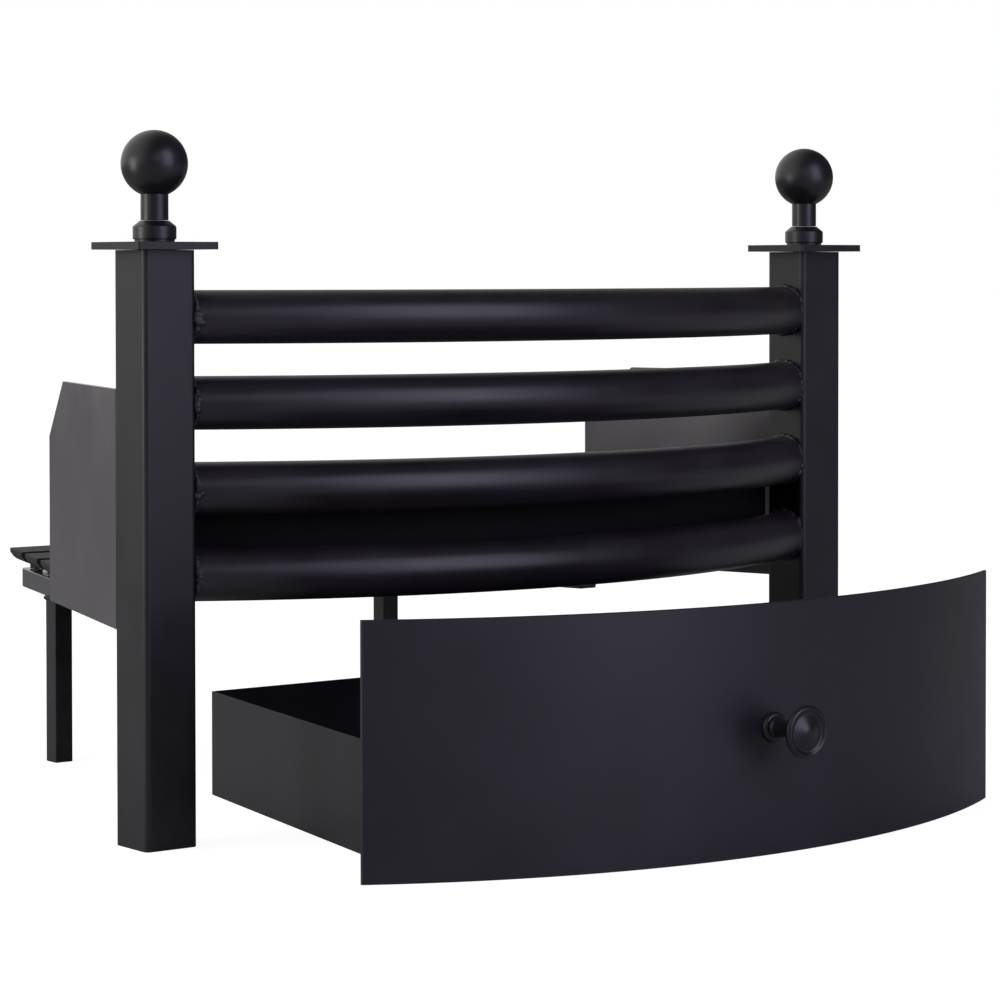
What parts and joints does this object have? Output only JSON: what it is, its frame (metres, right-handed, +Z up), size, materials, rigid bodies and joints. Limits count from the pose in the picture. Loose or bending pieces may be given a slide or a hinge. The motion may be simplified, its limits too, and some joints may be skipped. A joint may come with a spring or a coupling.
{
  "type": "log grate",
  "caption": "Open-fire log grate with ball-topped posts, bowed tube bars, side cheeks, a loose cast-iron bottom grate and a sliding ash pan.",
  "frame": {"origin": "on the hearth, under the middle of the grate's bounding box, midway between its two sides", "axes": "+X to the viewer's right along the line through the posts, +Y back into the fireplace, +Z up"},
  "size_m": [0.644, 0.7728, 0.4755],
  "materials": {
    "satin_black_paint": "satin black stove paint on steel",
    "cheek_paint": "satin black stove paint on flat steel plate",
    "turned_black": "satin black on turned steel",
    "cast_iron": "as cast, blackened",
    "pan_paint": "satin black paint on thin sheet",
    "zinc_steel": "zinc plated screw"
  },
  "bodies": {
    "root": {"left_post": "satin_black_paint", "right_post": "satin_black_paint", "left_post_cap": "satin_black_paint", "right_post_cap": "satin_black_paint", "left_finial_collar": "turned_black", "right_finial_collar": "turned_black", "left_ball_finial": "turned_black", "right_ball_finial": "turned_black", "fire_bar_1": "satin_black_paint", "fire_bar_2": "satin_black_paint", "fire_bar_3": "satin_black_paint", "fire_bar_4": "satin_black_paint", "ember_strip": "satin_black_paint", "left_cheek": "cheek_paint", "right_cheek": "cheek_paint", "hearth_plate": "satin_black_paint", "left_rail": "satin_black_paint", "right_rail": "satin_black_paint", "front_cross_bar": "satin_black_paint", "rear_cross_bar": "satin_black_paint", "left_rear_leg": "satin_black_paint", "right_rear_leg": "satin_black_paint"},
    "bottom_grate": {"bottom_grate": "cast_iron"},
    "ash_pan": {"ash_pan_tray": "pan_paint", "ash_pan_cover": "pan_paint", "knob_rose": "turned_black", "pan_knob": "turned_black", "knob_screw": "zinc_steel"}
  },
  "joints": [
    {"name": "ash_pan_slide", "type": "slide", "parent": "root", "child": "ash_pan", "axis": [0, -1, 0], "range_m": [-0.176, 0.18]},
    {"name": "bottom_grate_lift", "type": "slide", "parent": "root", "child": "bottom_grate", "axis": [0, 0, 1], "range_m": [0, 0.15]}
  ]
}
